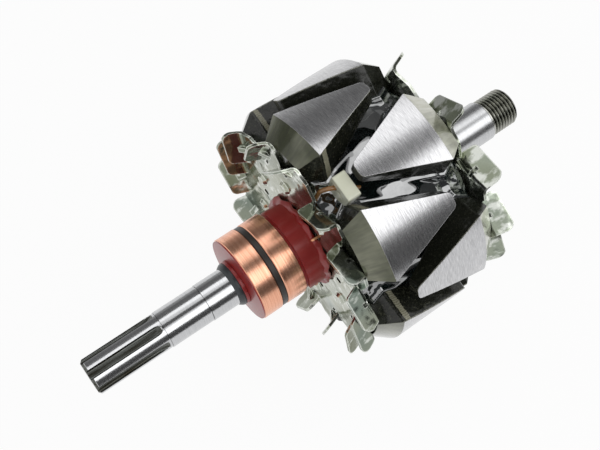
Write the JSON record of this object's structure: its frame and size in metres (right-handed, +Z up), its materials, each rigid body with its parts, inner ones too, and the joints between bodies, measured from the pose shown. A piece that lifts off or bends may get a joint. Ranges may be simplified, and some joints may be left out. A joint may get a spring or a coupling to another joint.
{
  "type": "generator rotor",
  "caption": "Claw-pole generator rotor with two bladed cooling fans, copper slip rings on a red moulding, a splined tail and a threaded pulley end.",
  "frame": {"origin": "on the shaft axis, in the middle plane between the two poles", "axes": "+X along the shaft from the splined tail to the pulley thread, +Z up, +Y across the shaft"},
  "size_m": [0.1984, 0.103, 0.103],
  "materials": {
    "ground_steel": "ground",
    "pole_steel": "turned",
    "black_varnish": "gloss",
    "winding_copper": "satin",
    "cream_plastic": "matte",
    "lead_sleeve": "gloss",
    "bare_copper": "satin",
    "red_moulding": "gloss",
    "ring_copper": "turned",
    "black_plastic": "matte",
    "black_gloss": "gloss",
    "fan_zinc": "zinc plated"
  },
  "bodies": {
    "root": {"shaft": "ground_steel", "rotor_core": "pole_steel", "rear_claw_pole": "pole_steel", "front_claw_pole": "pole_steel", "coil_bobbin": "black_varnish", "field_coil": "winding_copper", "coil_wrap": "black_varnish", "lead_clip_1": "cream_plastic", "lead_clip_2": "cream_plastic", "coil_lead_1": "lead_sleeve", "coil_lead_2": "lead_sleeve", "ring_lead_1": "bare_copper", "ring_lead_2": "bare_copper", "slip_ring_moulding": "red_moulding", "slip_ring_outer": "ring_copper", "slip_ring_inner": "ring_copper", "ring_separator": "black_plastic", "shaft_collar": "black_gloss", "rear_fan": "fan_zinc", "front_fan": "fan_zinc"}
  },
  "joints": []
}
